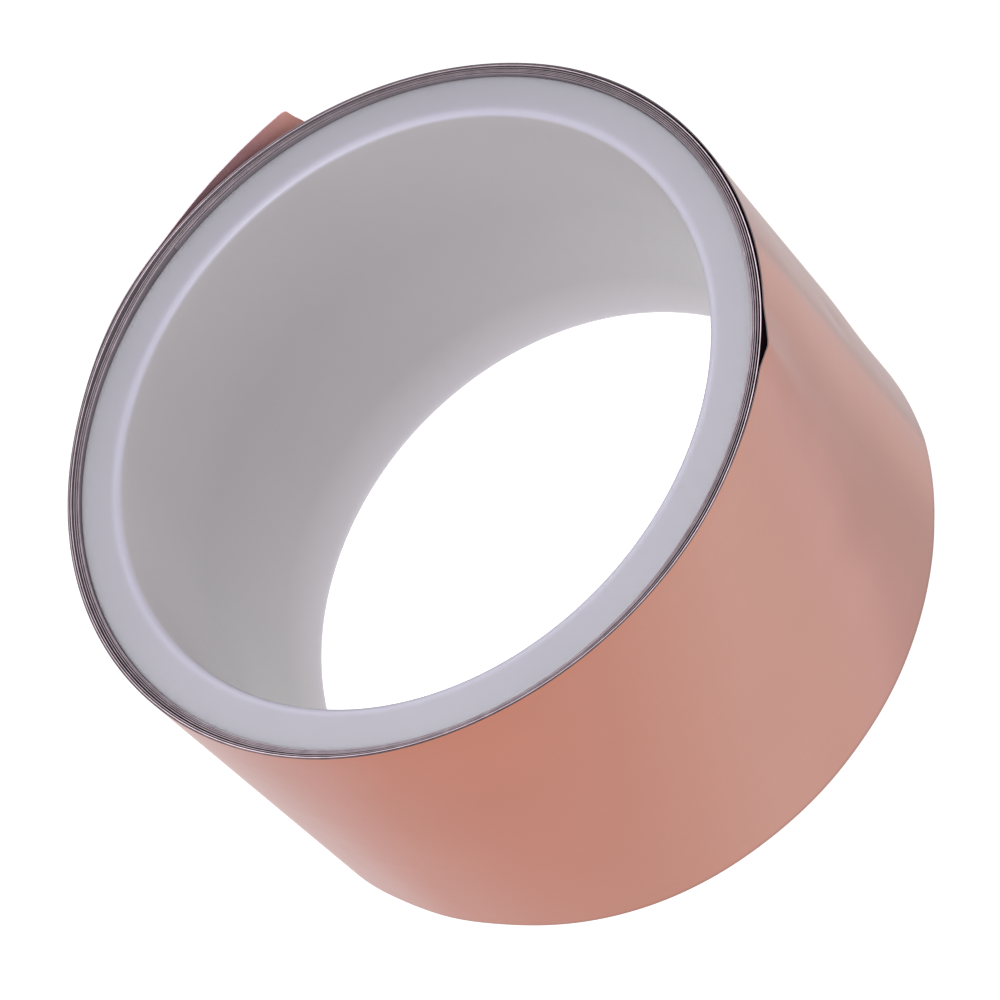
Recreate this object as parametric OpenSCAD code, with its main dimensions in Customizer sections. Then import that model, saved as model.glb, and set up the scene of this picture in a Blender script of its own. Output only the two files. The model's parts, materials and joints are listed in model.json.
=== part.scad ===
// Roll of copper foil tape: a thin strip of foil, adhesive and release liner wound on a plastic core,
// with its free end lifted off the roll.
// Z is the bore's axis, and the origin is the centre of the bore, halfway along the core. Millimetres.

/* [Core] */
// Diameter of the bore
bore_d = 76.2; // [50:0.1:80]
// Thickness of the core's wall
core_wall = 5.35; // [3:0.05:8]
// Length of the core along its axis
core_w = 50; // [10:1:60]
// Radius of the rounded edges at the two ends of the bore
bore_edge_r = 0.9; // [0.2:0.1:1.5]

/* [Strip] */
// Width of the strip
strip_w = 50; // [10:1:60]
// How far the strip sits past the core along the axis
strip_shift = 0.45; // [0:0.05:1]
// Whole turns of strip on the core
turns = 7; // [2:1:12]
// Thickness of the copper foil
foil_t = 0.035; // [0.02:0.005:0.05]
// Thickness of the adhesive on the foil's inner face
adhesive_t = 0.03; // [0.02:0.005:0.05]
// Thickness of the release liner under the adhesive
liner_t = 0.05; // [0.04:0.01:0.12]
// Slack between one turn and the next
turn_slack = 0.085; // [0.025:0.005:0.1]
// Angle round the roll at which the strip starts on the core
start_angle = 98; // [0:1:359]

/* [Free end] */
// How far short of its last whole turn the strip leaves the roll, in degrees
root_lead = 7; // [5:1:20]
// Length of the free end
free_len = 26.8; // [20:0.1:40]
// Length of the free end's root, along which the foil still sticks to the liner
root_len = 8; // [4:0.5:12]
// Radius to which the free end is curved
free_bend_r = 80; // [60:1:200]
// Gap between the adhesive and the liner along the free end
peel_gap = 0.02; // [0.01:0.005:0.02]
// Gap across each line where the free end bends
bend_gap = 0.02; // [0.01:0.01:0.05]

/* [Hidden] */
$fn = 180;
core_r = bore_d / 2 + core_wall;
pitch = foil_t + adhesive_t + liner_t + turn_slack;
half_turns = 2 * turns;
last_half = half_turns - 1;
// The spiral's half turns are centred on the axis and on a point half a pitch away, by turns.
centre_step = pitch / 2;
// Radius of the foil's outer face on the last half turn, which is where the free end starts
root_r = core_r + pitch + last_half * centre_step;
// A square of this size covers the whole roll.
reach = 4 * free_bend_r;

// Puts a flat outline of the strip, drawn anticlockwise from +X, at its place on the roll.
module wound_on_roll() {
    translate([0, 0, strip_shift - strip_w / 2])
        rotate([0, 0, start_angle])
            mirror([0, 1, 0])
                linear_extrude(height = strip_w)
                    children();
}

// Half of a thin ring, above the X axis when side is 1 and below it when side is -1
module half_ring(inner_r, thickness, side) {
    difference() {
        circle(r = inner_r + thickness);
        circle(r = inner_r);
        translate([-reach / 2, side > 0 ? -reach : 0])
            square(reach);
    }
}

// The stretch of the last turn that is part of the free end instead
module free_end_sector() {
    polygon([[0, 0], [reach, 0], [reach, -reach * tan(root_lead)]]);
}

// The wound turns of one layer, whose inner face starts at a height above the core
module layer_turns(height, thickness) {
    wound_on_roll()
        for (k = [0:last_half])
            translate([k % 2 * centre_step, 0])
                difference() {
                    half_ring(core_r + height + k * centre_step, thickness, k % 2 == 0 ? 1 : -1);
                    if (k == last_half) free_end_sector();
                }
}

// The direction at a length along the free end, seen from the centre of its curve
function free_direction(along) =
    let (angle = along / free_bend_r * 180 / PI)
    [cos(angle), sin(angle)];

// One layer of the free end between two lengths along it, whose outer face lies at a depth under the foil's
module layer_free_end(depth, thickness, from, to) {
    outer_r = free_bend_r - depth;
    wound_on_roll()
        translate([centre_step, 0])
            rotate(-root_lead)
                translate([root_r - free_bend_r, 0])
                    intersection() {
                        difference() {
                            circle(r = outer_r);
                            circle(r = outer_r - thickness);
                        }
                        polygon([[0, 0], reach * free_direction(from + bend_gap), reach * free_direction(to)]);
                    }
}

// What is left of a square corner of edge r when the corner is rounded
module corner_offcut(r) {
    difference() {
        square(r);
        translate([r, r])
            circle(r = r);
    }
}

module core() {
    color("#BCBAC5")
        rotate_extrude()
            difference() {
                translate([bore_d / 2, -core_w / 2])
                    square([core_wall, core_w]);
                translate([bore_d / 2, -core_w / 2])
                    corner_offcut(bore_edge_r);
                translate([bore_d / 2, core_w / 2])
                    mirror([0, 1])
                        corner_offcut(bore_edge_r);
            }
}

module liner_turns() {
    color("#D8D2D4")
        layer_turns(turn_slack, liner_t);
}

module adhesive_turns() {
    color("#7A5A52")
        layer_turns(turn_slack + liner_t, adhesive_t);
}

module foil_turns() {
    color("#C48A7C")
        layer_turns(turn_slack + liner_t + adhesive_t, foil_t);
}

module liner_free_end() {
    color("#D8D2D4")
        layer_free_end(foil_t + adhesive_t + peel_gap, liner_t, 0, free_len);
}

module adhesive_root() {
    color("#7A5A52")
        layer_free_end(foil_t, adhesive_t, 0, root_len);
}

module foil_root() {
    color("#C48A7C")
        layer_free_end(0, foil_t, 0, root_len);
}

module adhesive_free_end() {
    color("#7A5A52")
        layer_free_end(foil_t, adhesive_t, root_len, free_len);
}

module foil_free_end() {
    color("#C48A7C")
        layer_free_end(0, foil_t, root_len, free_len);
}

core();
liner_turns();
adhesive_turns();
foil_turns();
liner_free_end();
adhesive_root();
foil_root();
adhesive_free_end();
foil_free_end();
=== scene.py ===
import json
import math

import bpy
import numpy as np
from mathutils import Matrix, Vector


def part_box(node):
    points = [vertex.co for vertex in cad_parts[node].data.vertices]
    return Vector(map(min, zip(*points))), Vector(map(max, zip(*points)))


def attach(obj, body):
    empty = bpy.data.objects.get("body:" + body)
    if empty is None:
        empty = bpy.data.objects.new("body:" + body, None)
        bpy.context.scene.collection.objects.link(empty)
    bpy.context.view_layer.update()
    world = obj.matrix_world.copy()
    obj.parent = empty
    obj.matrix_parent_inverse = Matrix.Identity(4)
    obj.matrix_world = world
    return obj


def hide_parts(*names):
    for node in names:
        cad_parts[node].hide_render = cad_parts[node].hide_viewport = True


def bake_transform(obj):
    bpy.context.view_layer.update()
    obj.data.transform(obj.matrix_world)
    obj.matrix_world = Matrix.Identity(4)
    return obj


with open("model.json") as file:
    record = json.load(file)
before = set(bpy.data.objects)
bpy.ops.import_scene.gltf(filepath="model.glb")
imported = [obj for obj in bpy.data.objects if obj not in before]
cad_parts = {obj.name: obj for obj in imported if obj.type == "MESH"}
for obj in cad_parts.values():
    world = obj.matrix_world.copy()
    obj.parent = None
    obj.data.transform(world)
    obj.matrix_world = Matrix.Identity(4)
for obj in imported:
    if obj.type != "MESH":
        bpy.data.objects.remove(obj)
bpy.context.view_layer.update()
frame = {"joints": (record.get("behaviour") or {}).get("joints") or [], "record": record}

# A roll of copper foil tape: a moulded core, seven wound turns of foil, adhesive and liner, and a free end.
# Lengths are in metres, and a size given in millimetres is multiplied by MM. Angles are in degrees round the
# roll, counted from +X towards +Y. The strip is wound the other way, so its angle falls as it is wound on.
MM = 0.001

# ---------------------------------------------------------------- the frame's own sizes

joints = {joint["name"]: joint for joint in frame["joints"]}
mounts = {mount["name"]: mount for mount in frame["record"]["mounts"]}
root_line = Vector(joints["free_end_lift"]["pos_m"])
peel_line = Vector(joints["foil_peel"]["pos_m"])
core_low, core_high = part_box("core")
strip_low, strip_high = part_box("foil_turns")

BORE_R = mounts["bore"]["dims"]["r_mm"] * MM
CORE_R = (core_high.x - core_low.x) / 2
CORE_BOTTOM, CORE_TOP = core_low.z, core_high.z
BORE_EDGE_R = (CORE_TOP - CORE_BOTTOM - mounts["bore"]["dims"]["length_mm"] * MM) / 2
STRIP_W = strip_high.z - strip_low.z
STRIP_MIDDLE = (strip_high.z + strip_low.z) / 2

# Where the free end leaves the roll, where its foil peels off the liner, and where it ends.
ROOT_DEG = math.degrees(math.atan2(root_line.y, root_line.x))
PEEL_DEG = math.degrees(math.atan2(peel_line.y, peel_line.x))
TIP_DEG = 71.7
TURNS = 7
ROOT_LEAD_DEG = 7  # the strip leaves the roll this far before it has gone round to its own start
START_DEG = ROOT_DEG - ROOT_LEAD_DEG
TURN_LENGTH = 2 * math.pi * CORE_R  # the length of strip that the texture coordinates count for each turn

# Thickness of each layer, of the gap under the first turn, and of the seams beside the adhesive.
FOIL_T = 0.035 * MM
ADHESIVE_T = 0.03 * MM
LINER_T = 0.05 * MM
STRIP_T = FOIL_T + ADHESIVE_T + LINER_T
FIRST_GAP = 0.02 * MM
SEAM = 0.002 * MM

# Outer and inner depth of each layer under the foil's outer face.
FOIL = (0.0, FOIL_T)
ADHESIVE = (FOIL_T + SEAM, FOIL_T + ADHESIVE_T - SEAM)
LINER = (FOIL_T + ADHESIVE_T, STRIP_T)


# ---------------------------------------------------------------- small helpers


def smooth(t):
    """0 below 0, 1 above 1, and an S-shaped rise between."""
    t = np.clip(t, 0, 1)
    return t * t * (3 - 2 * t)


def away(angle, centre):
    """Signed angle in degrees from centre, between -180 and 180."""
    return (angle - centre + 180) % 360 - 180


def bump(angle, centre, width):
    """A soft hill of height 1 round the roll."""
    return np.exp(-((away(angle, centre) / width) ** 2))


def stretch(angle, first, last, soft):
    """1 from the first angle to the last, going up, and 0 outside, with soft ends."""
    span = (last - first) % 360
    middle = first + span / 2
    return 1 - smooth((np.abs(away(angle, middle)) - span / 2) / soft + 0.5)


def mark_rims(mesh, rims):
    """Gives the rim faces sharp edges and the second material."""
    slots = np.zeros(len(mesh.polygons), np.int32)
    slots[rims] = 1
    mesh.polygons.foreach_set("material_index", slots)
    creased = np.zeros(len(mesh.edges), bool)
    corner_edges = np.zeros(len(mesh.loops), np.int32)
    mesh.loops.foreach_get("edge_index", corner_edges)
    for face in rims:
        polygon = mesh.polygons[face]
        creased[corner_edges[polygon.loop_start : polygon.loop_start + polygon.loop_total]] = True
    mesh.edges.foreach_set("use_edge_sharp", creased)


def new_object(name, verts, faces, uvs=None, smooth_faces=True, rims=()):
    """A mesh object, whose rim faces, if it has any, are flat and marked."""
    mesh = bpy.data.meshes.new(name)
    mesh.from_pydata([tuple(v) for v in verts], [], faces)
    rounded = np.full(len(mesh.polygons), smooth_faces)
    if rims:
        mark_rims(mesh, rims)
        rounded[rims] = False
    mesh.polygons.foreach_set("use_smooth", rounded)
    if uvs is not None:
        layer = mesh.uv_layers.new(name="UVMap")
        corner_verts = np.zeros(len(mesh.loops), np.int32)
        mesh.loops.foreach_get("vertex_index", corner_verts)
        layer.data.foreach_set("uv", np.asarray(uvs, np.float32)[corner_verts].ravel())
    mesh.update()
    piece = bpy.data.objects.new(name, mesh)
    bpy.context.scene.collection.objects.link(piece)
    return piece


# ---------------------------------------------------------------- the shape of the wound strip

SPRING_DEG = 100.0  # the free end springs away from the roll from here on


def turns_at(angle):
    """Turns wound on where the strip passes an angle at its free end."""
    return TURNS + (START_DEG - angle) / 360


def turn_height(angle):
    """Height that one turn adds at an angle round the roll: tight near 245, loose near 92."""
    return (
        0.231
        + 0.070 * bump(angle, 92, 26)
        - 0.111 * bump(angle, 245, 36)
        - 0.023 * stretch(angle, 292, 20, 16)
        - 0.020 * bump(angle, 43, 16)
    ) * MM


def levels(u):
    """How many turns deep the strip's outer face lies after u turns. It climbs over its own start."""
    climb = 0.06
    whole = np.floor(u)
    return whole + 1 + smooth((u - whole - (1 - climb)) / climb)


def looseness(u):
    """The strip's wander inside its slack, from -1 to 1: inner turns lie low and outer ones high."""
    gap_at = 4.45
    return 0.85 * np.tanh(2.2 * (u - gap_at)) + 0.15 * np.sin(2 * math.pi * 2.38 * u + 1.7)


def slope(angle, crest, before, behind):
    """A hill with straight sides: height 1 at the crest, 0 at the given distances on each side of it."""
    off = away(angle, crest)
    return np.clip(np.where(off < 0, 1 + off / before, 1 - off / behind), 0, 1)


def buckle(angle, across):
    """The buckle and creases of the last turn between 300 and 350 degrees.

    across is 1 at the near rim and -1 at the far one, and depth is in millimetres from the near rim.
    """
    depth = (1 - across) * STRIP_W / 2 / MM
    rim_peak = 0.70 * slope(angle, 315.2, 3.9, 6.8) ** 1.2 * np.exp(-((depth / 7.5) ** 2))
    crease_at = 332.0 + 1.3 * smooth((depth - 18) / 8)
    crease = 0.30 * slope(angle, crease_at, 15, 12) * smooth((depth + 4) / 16)
    flat = -0.06 * bump(angle, 346, 6) * smooth(depth / 14) * smooth((50 - depth) / 12)
    dent = -0.20 * np.exp(-((away(angle, 339.0) / 3.0) ** 2) - ((depth - 26) / 3.5) ** 2)
    return (rim_peak + crease + flat + dent) * MM


def far_rim_shape(angle, far, level_share):
    """How the pack widens or narrows towards the far rim, where far is 1. Outer turns follow it more."""
    flare = 0.65 * stretch(angle, 230, 268, 36) + 0.27 * stretch(angle, 266, 300, 20)
    flare = flare + 0.85 * bump(angle, 186, 12) + 0.25 * bump(angle, 205, 8)
    pinch = -0.41 * bump(angle, 353, 6) * smooth((far - 0.69) / 0.22)
    return (far * flare + pinch * level_share) * MM * level_share


def last_turn_lift(angle, far):
    """How far the last turn stands off the pack, where it isn't creased."""
    loose = 0.18 * stretch(angle, 300, 22, 24) * (1 - 0.7 * bump(angle, 342, 14) * smooth(far * 3))
    return (loose + 0.10 * stretch(angle, 218, 345, 24)) * MM


def root_swell(u, held):
    """How the outer turns swell beside the root of the free end."""
    outer = 0.30 * MM * bump(held, 112, 14) * smooth((u - 4.2) / 0.3)
    return outer + 0.16 * MM * bump(held, 113, 10) * smooth((u - 6.2) / 0.3)


def free_end_lift(spring, across):
    """How far the free end stands off the roll, cupped across its width, spring degrees past SPRING_DEG."""
    lift = 0.060 * (spring - 3 * (1 - np.exp(-spring / 3))) + 0.00155 * spring**2
    belly = 2.0 * (spring / 28) ** 2 * smooth((1 - np.abs(across)) / 0.34)
    return (lift + belly) * MM


def rim_drift(u):
    """How far a wound turn's rims lie from those of the last turn."""
    drift = 0.10 * np.sin(2 * math.pi * 0.83 * u + 2.0) + 0.05 * np.sin(2 * math.pi * 3.1 * u)
    return (drift - 0.06) * MM


def foil_surface(u, across):
    """The foil's outer face as radius, angle and height, after u turns and at a place across the width."""
    angle = START_DEG - 360 * u
    free = u > TURNS - 0.02
    # Past SPRING_DEG the free end keeps the pack's height from there, and its spring is added to that.
    held = np.where(free, np.maximum(angle + 360 * TURNS, SPRING_DEG), angle)
    held_u = np.where(free, np.minimum(u, turns_at(SPRING_DEG)), u)
    height = turn_height(held)
    slack = height - STRIP_T
    slack_used = 0.7
    last = smooth((u - (TURNS - 1.1)) / 0.1)
    far = (1 - across) / 2
    level_share = (levels(held_u) - 1) / (TURNS - 1)
    spring = np.clip(SPRING_DEG - (angle + 360 * TURNS), 0, None) * free
    radius = CORE_R + FIRST_GAP + STRIP_T + height * (levels(held_u) - 1)
    radius = radius + slack_used * slack * looseness(u) * smooth((u - 1) / 0.4) * (1 - last)
    radius = radius + far_rim_shape(angle, far, level_share)
    radius = radius + last_turn_lift(angle, far) * last
    radius = radius + root_swell(u, held)
    radius = radius + buckle(angle, across) * last * smooth((TURNS - 0.2 - u) / 0.1)
    radius = radius + free_end_lift(spring, across)
    height_z = STRIP_MIDDLE + across * STRIP_W / 2 + rim_drift(u) * (1 - last)
    return radius, angle, height_z


# Places across the strip. The hidden turns have only their two rims, and the last one is fine near both rims.
EDGES = np.array([-1.0, 1.0])
RIM_STEPS = np.array([0, 0.06, 0.14, 0.25, 0.4, 0.6, 0.85, 1.2, 1.6]) * MM
NEAR_EDGE = 1 - RIM_STEPS / (STRIP_W / 2)
COLUMNS = np.concatenate([-NEAR_EDGE, np.linspace(-0.9, 0.9, 47), NEAR_EDGE[::-1]])

# Rows along the strip.
ROWS_IN_TURN = 180
LAST_TURN_ROWS = 420
ROOT_ROWS = 24
TIP_ROWS = 60

# The cut edge of the free end.
TIP_CORNER_R = 0.7 * MM
TIP_DRIFT = 0.3 * MM
TIP_DRIFT_OVER = 5 * MM
TIP_R = 48 * MM


def arc_between(first, last, count, columns):
    """A grid of turns and a grid of places across, from one number of turns to another."""
    rows = np.linspace(first, last, count)
    return np.repeat(rows[:, None], len(columns), 1), np.repeat(columns[None, :], count, 0)


def strip_piece(name, blocks, outer_depth, inner_depth):
    """A closed layer of the strip between two depths under the foil's outer face.

    Each block is a grid of turns and a grid of places across. Where two blocks have different columns,
    one wide face joins their rows.
    """
    verts, uvs, rows, faces, rims = [], [], [], [], []
    for turns, across in blocks:
        radius, angle, z = foil_surface(turns, across)
        a = np.radians(angle)
        for i in range(turns.shape[0]):
            pair = []
            for depth in (outer_depth, inner_depth):
                first = len(verts)
                r = radius[i] - depth
                verts.extend(zip(r * np.cos(a[i]), r * np.sin(a[i]), z[i]))
                uvs.extend(zip(turns[i] * TURN_LENGTH, across[i] * STRIP_W / 2))
                pair.append(list(range(first, first + turns.shape[1])))
            rows.append(pair)
    for near, far in zip(rows, rows[1:]):
        for side in (0, 1):
            p, q = near[side], far[side]
            if len(p) == len(q):
                quads = [(p[j], p[j + 1], q[j + 1], q[j]) for j in range(len(p) - 1)]
            else:
                quads = [tuple(p + q[::-1])]
            faces.extend(quads if side == 0 else [f[::-1] for f in quads])
        rims.append(len(faces))
        faces.append((near[0][0], far[0][0], far[1][0], near[1][0]))
        rims.append(len(faces))
        faces.append((near[0][-1], near[1][-1], far[1][-1], far[0][-1]))
    for row, flip in ((rows[0], True), (rows[-1], False)):
        for j in range(len(row[0]) - 1):
            quad = (row[0][j], row[0][j + 1], row[1][j + 1], row[1][j])
            rims.append(len(faces))
            faces.append(quad[::-1] if flip else quad)
    return new_object(name, verts, faces, uvs, True, rims)


def wound_blocks():
    """The hidden turns, and then the last one up to the root of the free end."""
    inner = arc_between(0.0, TURNS - 1.0, ROWS_IN_TURN * (TURNS - 1) + 1, EDGES)
    outer = arc_between(TURNS - 1.0 + 1 / 360, turns_at(ROOT_DEG), LAST_TURN_ROWS, COLUMNS)
    return [inner, outer]


def root_blocks():
    """The free end from its root to the line where the foil peels."""
    return [arc_between(turns_at(ROOT_DEG), turns_at(PEEL_DEG), ROOT_ROWS, COLUMNS)]


def tip_blocks(first_deg):
    """The free end from an angle to its cut edge, whose corners are slightly round."""
    first, last = turns_at(first_deg), turns_at(TIP_DEG)
    from_edge = (1 - np.abs(COLUMNS)) * STRIP_W / 2
    inside = np.clip(1 - from_edge / TIP_CORNER_R, 0, 1)
    cut_back = TIP_CORNER_R * (1 - np.sqrt(1 - inside**2))
    drift = TIP_DRIFT * smooth(from_edge / TIP_DRIFT_OVER)
    ends = last + (drift - cut_back) / (2 * math.pi * TIP_R)
    share = np.linspace(0, 1, TIP_ROWS)[:, None]
    return [(first + share * (ends - first)[None, :], np.repeat(COLUMNS[None, :], TIP_ROWS, 0))]


# ---------------------------------------------------------------- materials


class Nodes:
    """A short way to write a material's node tree."""

    def __init__(self, name):
        self.material = bpy.data.materials.new(name)
        self.material.use_nodes = True
        self.tree = self.material.node_tree
        self.tree.nodes.clear()
        self.output = self.tree.nodes.new("ShaderNodeOutputMaterial")
        self.shader = self.tree.nodes.new("ShaderNodeBsdfPrincipled")
        self.tree.links.new(self.shader.outputs[0], self.output.inputs[0])

    def node(self, kind, **settings):
        """A new node with some of its properties set."""
        made = self.tree.nodes.new(kind)
        for key, value in settings.items():
            setattr(made, key, value)
        return made

    def link(self, source, target):
        """Joins an output of one node to a socket of another."""
        self.tree.links.new(source, target)

    def fixed(self, **values):
        """Sets shader sockets, whose names are written with _ for each space."""
        for key, value in values.items():
            self.shader.inputs[key.replace("_", " ")].default_value = value

    def place(self, source, scale=(1, 1, 1)):
        """Texture coordinates stretched by a scale along each axis."""
        coordinates = self.node("ShaderNodeTexCoord")
        mapping = self.node("ShaderNodeMapping")
        mapping.inputs["Scale"].default_value = scale
        self.link(coordinates.outputs[source], mapping.inputs["Vector"])
        return mapping.outputs[0]

    def split(self, source):
        """The X, Y and Z of texture coordinates, as three outputs."""
        coordinates = self.node("ShaderNodeTexCoord")
        made = self.node("ShaderNodeSeparateXYZ")
        self.link(coordinates.outputs[source], made.inputs[0])
        return made.outputs["X"], made.outputs["Y"], made.outputs["Z"]

    def calculate(self, operation, *values):
        """A maths node, whose values are numbers or outputs of other nodes."""
        made = self.node("ShaderNodeMath", operation=operation)
        for socket, value in zip(made.inputs, values):
            if isinstance(value, (int, float)):
                socket.default_value = value
            else:
                self.link(value, socket)
        return made.outputs[0]

    def from_axis(self):
        """The distance from the roll's axis."""
        coordinates = self.node("ShaderNodeTexCoord")
        flat = self.node("ShaderNodeVectorMath", operation="MULTIPLY")
        flat.inputs[1].default_value = (1, 1, 0)
        self.link(coordinates.outputs["Object"], flat.inputs[0])
        radius = self.node("ShaderNodeVectorMath", operation="LENGTH")
        self.link(flat.outputs["Vector"], radius.inputs[0])
        return radius.outputs["Value"]

    def noise(self, vector, scale, detail, rough):
        """Soft noise between 0 and 1 at texture coordinates."""
        made = self.node("ShaderNodeTexNoise")
        made.inputs["Scale"].default_value = scale
        made.inputs["Detail"].default_value = detail
        made.inputs["Roughness"].default_value = rough
        self.link(vector, made.inputs["Vector"])
        return made.outputs["Fac"]

    def ramp(self, value, stops):
        """A colour ramp. Its stops are (place, colour) in rising order of place."""
        made = self.node("ShaderNodeValToRGB")
        ramp = made.color_ramp
        while len(ramp.elements) < len(stops):
            ramp.elements.new(0.5)
        for element, (at, color) in zip(ramp.elements, stops):
            element.position = at
            element.color = (*color, 1.0)
        self.link(value, made.inputs["Fac"])
        return made.outputs["Color"]

    def to_range(self, value, low, high, from_low=0.0, from_high=1.0):
        """A value moved from one range to another, and held at the ends of the new one."""
        made = self.node("ShaderNodeMapRange")
        made.inputs["From Min"].default_value = from_low
        made.inputs["From Max"].default_value = from_high
        made.inputs["To Min"].default_value = low
        made.inputs["To Max"].default_value = high
        self.link(value, made.inputs["Value"])
        return made.outputs[0]

    def multiply(self, a, b):
        """The product of two colours."""
        return self.mix(1.0, a, b, "MULTIPLY")

    def mix(self, factor, a, b, blend="MIX"):
        """A mix of two colours. The factor and the colours are values or outputs of other nodes."""
        made = self.node("ShaderNodeMix", data_type="RGBA", blend_type=blend)
        for socket, value in ((made.inputs[0], factor), (made.inputs[6], a), (made.inputs[7], b)):
            if isinstance(value, (int, float)):
                socket.default_value = value
            elif isinstance(value, tuple):
                socket.default_value = (*value, 1.0)
            else:
                self.link(value, socket)
        return made.outputs[2]

    def add_bump(self, height, distance, strength, after=None):
        """A normal that follows a height, on top of the bump that comes before it."""
        made = self.node("ShaderNodeBump")
        made.inputs["Strength"].default_value = strength
        made.inputs["Distance"].default_value = distance
        self.link(height, made.inputs["Height"])
        if after is not None:
            self.link(after, made.inputs["Normal"])
        return made.outputs[0]


# Colours of the copper at angles from the root back over the last turn, and then over the turn beneath it.
# Over the last turn they are painted reflection: lighter and darker patches that stand in for the brighter
# and dimmer surroundings the copper reflects. The turn beneath is painted dark, as painted shade under the
# last turn, and the turns below it are a grey lilac.
# They lean across the width by TINT_SLANT, and soft noise moves them along by half of TINT_WANDER each way.
TINT_SLANT = 0.34
TINT_WANDER = 12 * MM
REFLECTION_AND_SHADE_TINTS = [
    (98, (0.460, 0.235, 0.186)),
    (190, (0.448, 0.202, 0.166)),
    (205, (0.452, 0.188, 0.145)),
    (216, (0.442, 0.170, 0.118)),
    (234, (0.444, 0.180, 0.130)),
    (254, (0.442, 0.204, 0.156)),
    (277, (0.482, 0.260, 0.214)),
    (291, (0.474, 0.254, 0.210)),
    (299, (0.474, 0.253, 0.218)),
    (308, (0.411, 0.217, 0.186)),
    (318, (0.390, 0.205, 0.171)),
    (331, (0.391, 0.200, 0.166)),
    (344, (0.392, 0.206, 0.173)),
    (400, (0.450, 0.235, 0.186)),
    (466, (0.450, 0.235, 0.186)),
    (472, (0.200, 0.075, 0.085)),
    (800, (0.200, 0.075, 0.085)),
    (812, (0.240, 0.210, 0.240)),
]

# Light on the crease of the last turn, and the shade behind it, as factors on the tint.
CREASE_SLANT = 0.06
CREASE_LIGHT = [
    (318, (1.0, 1.0, 1.0)),
    (326, (1.20, 1.17, 1.13)),
    (352, (1.20, 1.17, 1.13)),
    (360, (1.0, 1.0, 1.0)),
]
CREASE_DARK = [
    (332.4, (1.0, 1.0, 1.0)),
    (332.8, (0.70, 0.71, 0.73)),
    (334.4, (0.73, 0.77, 0.80)),
    (336.5, (0.81, 0.87, 0.92)),
    (339, (0.79, 0.84, 0.88)),
    (344, (0.72, 0.76, 0.80)),
    (352, (0.76, 0.78, 0.80)),
    (360, (1.0, 1.0, 1.0)),
]

# Factors on the tint in a narrow band at each rim: more orange at the near rim, and a dark line of painted
# shade at the far rim.
NEAR_RIM_BAND = 1.6 * MM
NEAR_RIM_TINT = (1.04, 0.92, 0.80)
FAR_RIM_BAND = 0.6 * MM
FAR_RIM_PAINTED_SHADE = (0.55, 0.50, 0.50)


def by_angle(m, length, stops, offset=0.0):
    """Colours at angles over the last two turns, going back from the end of the last one."""
    back = m.to_range(length, 1, 0, (TURNS - 2) * TURN_LENGTH + offset, TURNS * TURN_LENGTH + offset)
    return m.ramp(back, [((angle - START_DEG) / 720, color) for angle, color in stops])


def copper_foil():
    """Foil with painted reflection, whose tint drifts lighter and darker along its last turn, and with
    painted shade, dull and dark under the turns above it.
    """
    m = Nodes("copper_foil")
    m.fixed(Metallic=1.0, Specular_Tint=(0.88, 0.88, 0.90, 1.0))
    soft = m.noise(m.place("UV"), 38, 3, 0.5)
    along, across, _ = m.split("UV")
    slanted = m.calculate("MULTIPLY_ADD", across, TINT_SLANT, along)
    wander = m.calculate("MULTIPLY_ADD", soft, TINT_WANDER, slanted)
    # Painted reflection over the last turn, and painted shade on the turn beneath it.
    drift = by_angle(m, wander, REFLECTION_AND_SHADE_TINTS, TINT_WANDER / 2)
    crease_light = by_angle(m, m.calculate("MULTIPLY_ADD", across, CREASE_SLANT, along), CREASE_LIGHT)
    crease_dark = by_angle(m, along, CREASE_DARK)
    near_rim = m.to_range(across, 0, 0.45, STRIP_W / 2 - NEAR_RIM_BAND, STRIP_W / 2)
    # A band of painted shade along the far rim.
    far_rim = m.to_range(across, 0.5, 0, -STRIP_W / 2, FAR_RIM_BAND - STRIP_W / 2)
    rims = m.mix(near_rim, m.multiply(crease_light, crease_dark), NEAR_RIM_TINT)
    drift = m.multiply(drift, m.mix(far_rim, rims, FAR_RIM_PAINTED_SHADE))
    streaks = m.noise(m.place("UV", (14, 700, 1)), 1.0, 4, 0.6)
    grain = m.noise(m.place("UV", (2500, 9000, 1)), 1.0, 2, 0.5)
    patches = m.ramp(soft, [(0.3, (0.975, 0.965, 0.96)), (0.7, (1.02, 1.03, 1.035))])
    fine = m.ramp(streaks, [(0.3, (0.98,) * 3), (0.7, (1.0,) * 3)])
    m.link(m.multiply(m.multiply(drift, patches), fine), m.shader.inputs["Base Color"])
    m.link(m.to_range(streaks, 0.27, 0.33), m.shader.inputs["Roughness"])
    waves = m.add_bump(soft, 0.16 * MM, 0.6)
    lines = m.add_bump(streaks, 0.001 * MM, 0.5, waves)
    m.link(m.add_bump(grain, 0.001 * MM, 0.5, lines), m.shader.inputs["Normal"])
    return m.material


# Painted shade and light on the cut edges: brightness by how many turns are wound on, and by the angle round
# the roll.
EDGE_SHADES = [
    (4.7, 0.58),
    (5.0, 1.4),
    (5.78, 1.4),
    (5.88, 0.58),
    (6.04, 0.58),
    (6.15, 0.24),
    (6.96, 0.24),
    (7.0, 1.5),
]
EDGE_LIGHT_AT_START = 1.8
EDGE_LIGHT = [
    (60, 1.17),
    (10, 1.25),
    (345, 1.40),
    (322, 1.72),
    (300, 1.32),
    (275, 1.10),
    (248, 0.87),
    (225, 1.10),
    (202, 1.62),
    (180, 1.18),
    (155, 1.65),
    (135, 1.60),
    (112, 1.95),
]


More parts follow.
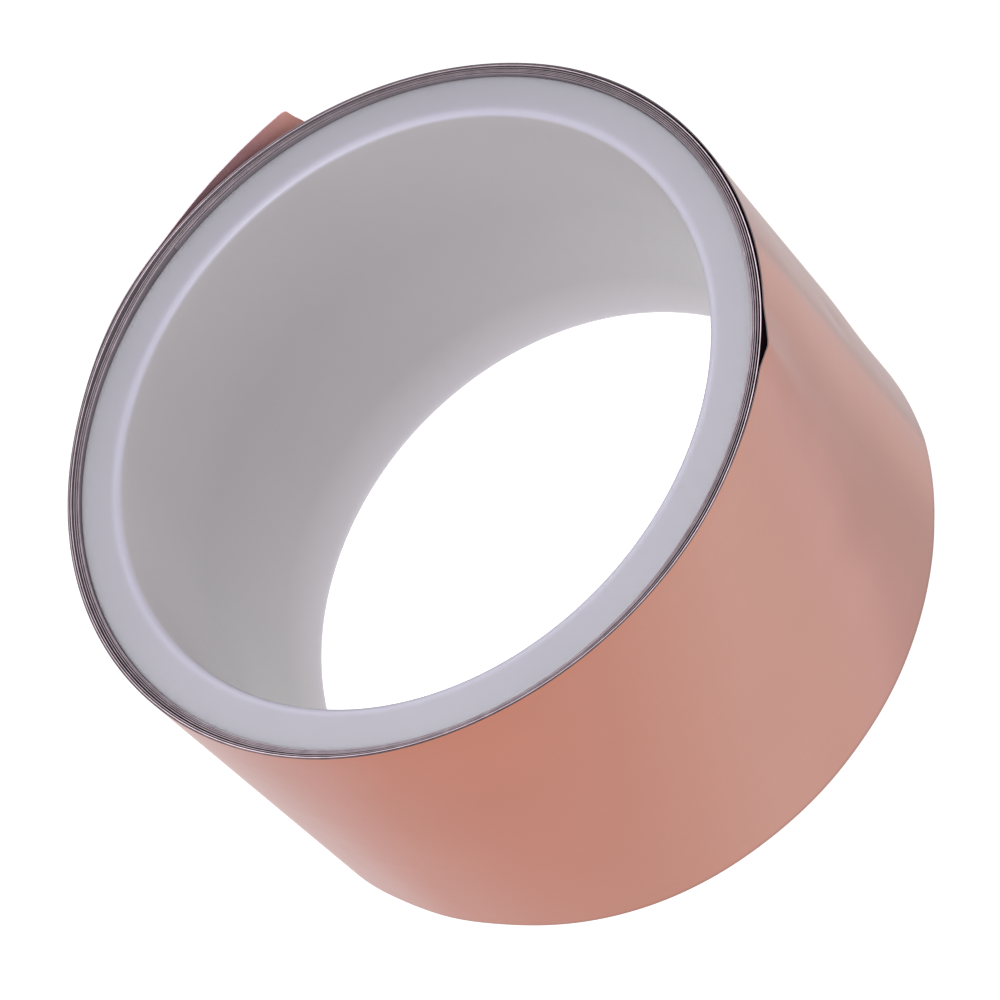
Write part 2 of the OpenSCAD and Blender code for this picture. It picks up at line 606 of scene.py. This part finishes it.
def edge_of(name, dark, light, metallic=0.0):
    """The cut edge of a layer, with painted shade and light: darkest on the last turn, pale on the turn under
    it and on the free end.
    """
    m = Nodes(name)
    m.fixed(Metallic=metallic, Roughness=0.5)
    grey = m.ramp(m.noise(m.place("Object"), 700, 3, 0.6), [(0.3, dark), (0.7, light)])
    along, _, _ = m.split("UV")
    wound = m.to_range(along, 0, 1, 0, TURNS * TURN_LENGTH)
    turn_shade = m.ramp(wound, [(turn / TURNS, (shade,) * 3) for turn, shade in EDGE_SHADES])
    part_of_turn = m.calculate("FRACT", m.calculate("MULTIPLY", wound, TURNS))
    stops = [((START_DEG - angle) % 360 / 360, (bright,) * 3) for angle, bright in EDGE_LIGHT]
    start = (EDGE_LIGHT_AT_START,) * 3
    angle_light = m.ramp(part_of_turn, [(0.0, start), *stops, (1.0, start)])
    m.link(m.multiply(m.multiply(grey, turn_shade), angle_light), m.shader.inputs["Base Color"])
    return m.material


# Painted shade on the foil's underside, from the root of the free end, 0, where it is darkest, to its cut
# edge, 1.
UNDERSIDE_PAINTED_SHADE = [
    (0.0, (0.035, 0.028, 0.035)),
    (0.25, (0.08, 0.023, 0.042)),
    (0.5, (0.205, 0.074, 0.112)),
    (0.75, (0.53, 0.25, 0.30)),
    (1.0, (1.0, 0.58, 0.51)),
]


def adhesive_film():
    """Clear adhesive over the foil's underside, with painted shade: dark where the free end closes on the
    roll.
    """
    m = Nodes("adhesive")
    m.fixed(Metallic=0.35, Roughness=0.4)
    along, _, _ = m.split("UV")
    opened = m.to_range(along, 0, 1, turns_at(ROOT_DEG) * TURN_LENGTH, turns_at(TIP_DEG) * TURN_LENGTH)
    # Painted shade, darkest where the free end closes on the roll.
    depth = m.ramp(opened, UNDERSIDE_PAINTED_SHADE)
    cloud = m.ramp(m.noise(m.place("UV"), 160, 4, 0.55), [(0.3, (0.92,) * 3), (0.7, (1.0,) * 3)])
    m.link(m.multiply(depth, cloud), m.shader.inputs["Base Color"])
    return m.material


def liner_film(name, cover, tint, dullness=0.1):
    """Thin film, where cover is how much it hides of what lies behind it."""
    m = Nodes(name)
    m.fixed(Alpha=cover, IOR=1.45)
    haze = m.noise(m.place("UV"), 260, 3, 0.5)
    lighter = tuple(1.2 * channel for channel in tint)
    m.link(m.ramp(haze, [(0.3, tint), (0.7, lighter)]), m.shader.inputs["Base Color"])
    m.link(m.to_range(haze, dullness, dullness + 0.1), m.shader.inputs["Roughness"])
    return m.material


# Colours of the core's bore, of its low end, of the round lip and of the flat face. The bore is painted
# darker, as painted shade inside the tube, the low end paler, as painted light at that end, and the lip paler
# and bluer, as a painted highlight.
BORE_TINT_IN_PAINTED_SHADE = (0.365, 0.344, 0.360)
LOW_END_PAINTED_LIGHT = (0.455, 0.430, 0.465)
LIP_PAINTED_HIGHLIGHT = (0.490, 0.472, 0.568)
FACE_TINT = (0.437, 0.423, 0.480)

# Painted light and shade by the angle round the roll: brightness of the bore, of the bore close to the lip,
# and of the face.
WALL_LIGHT = [
    (0, 0.98), (30, 0.96), (60, 0.92), (90, 0.90), (110, 0.95), (130, 0.99), (150, 1.0),
    (180, 1.05), (360, 0.98),
]
LIP_WALL_LIGHT = [
    (0, 1.2), (45, 1.07), (75, 1.03), (105, 1.1), (135, 1.2), (150, 1.36), (180, 1.44),
    (198, 1.0), (360, 1.2),
]
FACE_LIGHT = [
    (0, 1.05), (90, 1.04), (190, 1.0), (225, 0.94), (260, 0.90), (300, 0.95), (345, 1.04),
    (360, 1.05),
]

# Where each zone begins and is complete, as a share of LIP_REACH outward from the bore, or as a height.
LIP_REACH = 2 * BORE_EDGE_R
BORE_TO_LIP = (0.02, 0.12)
LIP_TO_FACE = (0.42, 0.75)
NEAR_LIP = (4 * MM, 23 * MM)
LOW_END = (CORE_BOTTOM, CORE_BOTTOM + 10 * MM)


def core_plastic():
    """Slightly translucent grey plastic, a little paler or darker by zone and by angle, as painted light and
    shade.
    """
    m = Nodes("core_plastic")
    m.fixed(Subsurface_Weight=0.55, Subsurface_Scale=6 * MM, Subsurface_Radius=(1.0, 0.95, 1.05), IOR=1.49)
    cloud = m.noise(m.place("Object"), 45, 4, 0.5)
    grain = m.noise(m.place("Object"), 1500, 3, 0.6)
    x, y, z = m.split("Object")
    outward = m.to_range(m.from_axis(), 0, 1, BORE_R, BORE_R + LIP_REACH)
    around = m.calculate("FRACT", m.to_range(m.calculate("ARCTAN2", y, x), 0.5, 1.5, -math.pi, math.pi))
    # Painted light and shade by angle, for the bore, the bore near the lip and the face.
    wall, lip_wall, face = [
        m.ramp(around, [(angle / 360, (bright,) * 3) for angle, bright in lights])
        for lights in (WALL_LIGHT, LIP_WALL_LIGHT, FACE_LIGHT)
    ]
    # The bore's painted shade, the lip's painted highlight and the low end's painted light.
    bore = m.multiply(m.mix(m.to_range(z, 0, 1, *NEAR_LIP), wall, lip_wall), BORE_TINT_IN_PAINTED_SHADE)
    lip = m.mix(m.to_range(outward, 0, 1, *LIP_TO_FACE), LIP_PAINTED_HIGHLIGHT, m.multiply(face, FACE_TINT))
    zones = m.mix(m.to_range(outward, 0, 1, *BORE_TO_LIP), bore, lip)
    zones = m.mix(m.to_range(z, 0.9, 0, *LOW_END), zones, LOW_END_PAINTED_LIGHT)
    clouded = m.multiply(zones, m.ramp(cloud, [(0.3, (0.96,) * 3), (0.7, (1.0,) * 3)]))
    m.link(clouded, m.shader.inputs["Base Color"])
    m.link(m.to_range(grain, 0.38, 0.5), m.shader.inputs["Roughness"])
    m.link(m.add_bump(grain, 0.01 * MM, 0.5), m.shader.inputs["Normal"])
    return m.material


# ---------------------------------------------------------------- pieces

OUTER_EDGE_R = 0.35 * MM
STEPS_ROUND = 288


def core_end(end, inward):
    """The profile's points at one end, from the bore outward. inward is the way into the core along Z."""
    bore_arc = [
        (BORE_R + BORE_EDGE_R * (1 - math.cos(t)), end + inward * BORE_EDGE_R * (1 - math.sin(t)))
        for t in np.linspace(0, math.pi / 2, 13)
    ]
    face = [(r, end) for r in np.linspace(BORE_R + BORE_EDGE_R, CORE_R - OUTER_EDGE_R, 7)[1:-1]]
    outer_arc = [
        (CORE_R - OUTER_EDGE_R * (1 - math.sin(t)), end + inward * OUTER_EDGE_R * (1 - math.cos(t)))
        for t in np.linspace(0, math.pi / 2, 7)
    ]
    return bore_arc + face + outer_arc


def turned(profile):
    """Vertices and faces of a closed profile of (radius, height) turned about the roll's axis."""
    verts, faces = [], []
    for k in range(STEPS_ROUND):
        a = 2 * math.pi * k / STEPS_ROUND
        verts.extend((r * math.cos(a), r * math.sin(a), z) for r, z in profile)
    n = len(profile)
    for k in range(STEPS_ROUND):
        here, there = k * n, (k + 1) % STEPS_ROUND * n
        for j in range(n):
            faces.append((here + j, here + (j + 1) % n, there + (j + 1) % n, there + j))
    return verts, faces


def make_core():
    """A turned profile with rounded bore edges and slightly eased outer edges."""
    bore_heights = np.linspace(CORE_BOTTOM + BORE_EDGE_R, CORE_TOP - BORE_EDGE_R, 12)[1:-1]
    bore_wall = [(BORE_R, z) for z in bore_heights]
    profile = core_end(CORE_BOTTOM, 1)[::-1] + bore_wall + core_end(CORE_TOP, -1)
    piece = new_object("core_ring", *turned(profile))
    piece.data.materials.append(core_plastic())
    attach(piece, "roll")
    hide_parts("core")


def make_layer(name, nodes, depths, blocks, materials, body=None, bend=None):
    """One layer's piece, which rides on a body, or, where a bend is given, has its transform baked in and
    rides on none.
    """
    piece = strip_piece(name, blocks, *depths)
    for material in materials:
        piece.data.materials.append(material)
    if bend:
        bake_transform(piece)
    else:
        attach(piece, body)
    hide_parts(*nodes)


PEEL_BEND_LENGTH = 8 * MM


def make_strip():
    """Foil, adhesive and liner: wound turns, the root of the free end, and the end that peels."""
    copper = [copper_foil(), edge_of("foil_edge", (0.235, 0.17, 0.19), (0.43, 0.31, 0.34), 0.6)]
    glue = [adhesive_film(), edge_of("adhesive_edge", (0.195, 0.146, 0.17), (0.32, 0.252, 0.29))]
    pale_edge = edge_of("liner_edge", (0.47, 0.39, 0.45), (0.64, 0.535, 0.61))
    film = [liner_film("liner_film", 0.12, (0.60, 0.42, 0.42)), pale_edge]
    # The wound liner is opaque and dark grey: painted shade for the depth of the pack seen between its turns.
    wound_film = [liner_film("liner_film_wound", 1.0, (0.165, 0.14, 0.16), 0.5), pale_edge]
    along = (peel_line - root_line).normalized()
    lift_bend = ("roll", "strip_end", root_line, peel_line)
    peel_bend = ("strip_end", "foil_end", peel_line, peel_line + along * PEEL_BEND_LENGTH)
    wound, root, end = wound_blocks(), root_blocks(), tip_blocks(PEEL_DEG)
    make_layer("foil_wound", ["foil_turns"], FOIL, wound, copper, "roll")
    make_layer("adhesive_wound", ["adhesive_turns"], ADHESIVE, wound, glue, "roll")
    make_layer("liner_wound", ["liner_turns"], LINER, wound, wound_film, "roll")
    make_layer("foil_at_root", ["foil_root"], FOIL, root, copper, bend=lift_bend)
    make_layer("adhesive_at_root", ["adhesive_root"], ADHESIVE, root, glue, bend=lift_bend)
    make_layer("foil_end", ["foil_free_end"], FOIL, end, copper, bend=peel_bend)
    make_layer("adhesive_end", ["adhesive_free_end"], ADHESIVE, end, glue, bend=peel_bend)
    make_layer("liner_end", ["liner_free_end"], LINER, tip_blocks(ROOT_DEG), film, bend=lift_bend)


# ---------------------------------------------------------------- studio

FLOOR_HALF = 3.0
FLOOR_ROWS = 3
FLOOR_GAP = 0.02 * MM
# The floor glows at the first strength inside the bore and the second outside it; the brighter glow inside
# the bore is painted light.
FLOOR_GLOW = (1.30, 0.99)
FLOOR_GLOW_FADE = (BORE_R - 4 * MM, BORE_R + 2 * MM)
WORLD_STRENGTH = 0.48


def make_floor():
    """A flat pale floor, softly lit from within like a light table, and brighter inside the bore, as painted
    light that lifts the shade in the core.
    """
    rows = FLOOR_ROWS
    places = np.linspace(-FLOOR_HALF, FLOOR_HALF, rows)
    verts = [(x, y, CORE_BOTTOM - FLOOR_GAP) for y in places for x in places]
    faces = [
        (j * rows + i, j * rows + i + 1, (j + 1) * rows + i + 1, (j + 1) * rows + i)
        for j in range(rows - 1)
        for i in range(rows - 1)
    ]
    floor = new_object("floor", verts, faces, smooth_faces=False)
    m = Nodes("floor_white")
    m.fixed(Roughness=0.9, Base_Color=(0.2, 0.2, 0.2, 1.0), Emission_Color=(1, 1, 1, 1))
    glow = m.to_range(m.from_axis(), *FLOOR_GLOW, *FLOOR_GLOW_FADE)
    m.link(glow, m.shader.inputs["Emission Strength"])
    floor.data.materials.append(m.material)


def soft_light(name, place, size, power):
    """A white rectangular light that faces the roll's middle and isn't seen by the camera."""
    light = bpy.data.lights.new(name, "AREA")
    light.shape = "RECTANGLE"
    light.size, light.size_y = size
    light.energy = power
    lamp = bpy.data.objects.new(name, light)
    lamp.location = place
    lamp.visible_camera = False
    lamp.rotation_mode = "QUATERNION"
    lamp.rotation_quaternion = (-Vector(place)).to_track_quat("-Z", "Y")
    bpy.context.scene.collection.objects.link(lamp)


def make_lights():
    """Two small lights in an even white surrounding."""
    soft_light("key", (-0.02, -0.10, 0.17), (0.08, 0.08), 0.22)
    soft_light("fill", (-0.35, -0.25, 0.35), (0.3, 0.3), 0.8)
    world = bpy.data.worlds.new("studio")
    world.use_nodes = True
    background = world.node_tree.nodes["Background"]
    background.inputs["Color"].default_value = (1, 1, 1, 1)
    background.inputs["Strength"].default_value = WORLD_STRENGTH
    bpy.context.scene.world = world


CAMERA_AIM = Vector((-0.44, 0.14, 0.11)) * MM
CAMERA_DISTANCE = 529.1 * MM
CAMERA_ELEVATION_DEG = 50.93
CAMERA_AZIMUTH_DEG = 0.075
CAMERA_ROLL_DEG = -45.77
LENS_MM = 160.1
SENSOR_MM = 36.0


def make_camera():
    """A long lens looking down at the roll, turned about its own line of sight."""
    e, a = math.radians(CAMERA_ELEVATION_DEG), math.radians(CAMERA_AZIMUTH_DEG)
    back = Vector((math.sin(a) * math.cos(e), -math.cos(a) * math.cos(e), math.sin(e)))
    data = bpy.data.cameras.new("camera")
    data.lens, data.sensor_width = LENS_MM, SENSOR_MM
    data.clip_start, data.clip_end = 0.01, 20.0
    camera = bpy.data.objects.new("camera", data)
    camera.rotation_mode = "QUATERNION"
    level = (-back).to_track_quat("-Z", "Y").to_matrix()
    rolled = level @ Matrix.Rotation(math.radians(CAMERA_ROLL_DEG), 3, "Z")
    camera.rotation_quaternion = rolled.to_quaternion()
    camera.location = CAMERA_AIM + back * CAMERA_DISTANCE
    bpy.context.scene.collection.objects.link(camera)
    bpy.context.scene.camera = camera


make_core()
make_strip()
make_floor()
make_lights()
make_camera()
bpy.context.scene.view_settings.view_transform = "Standard"
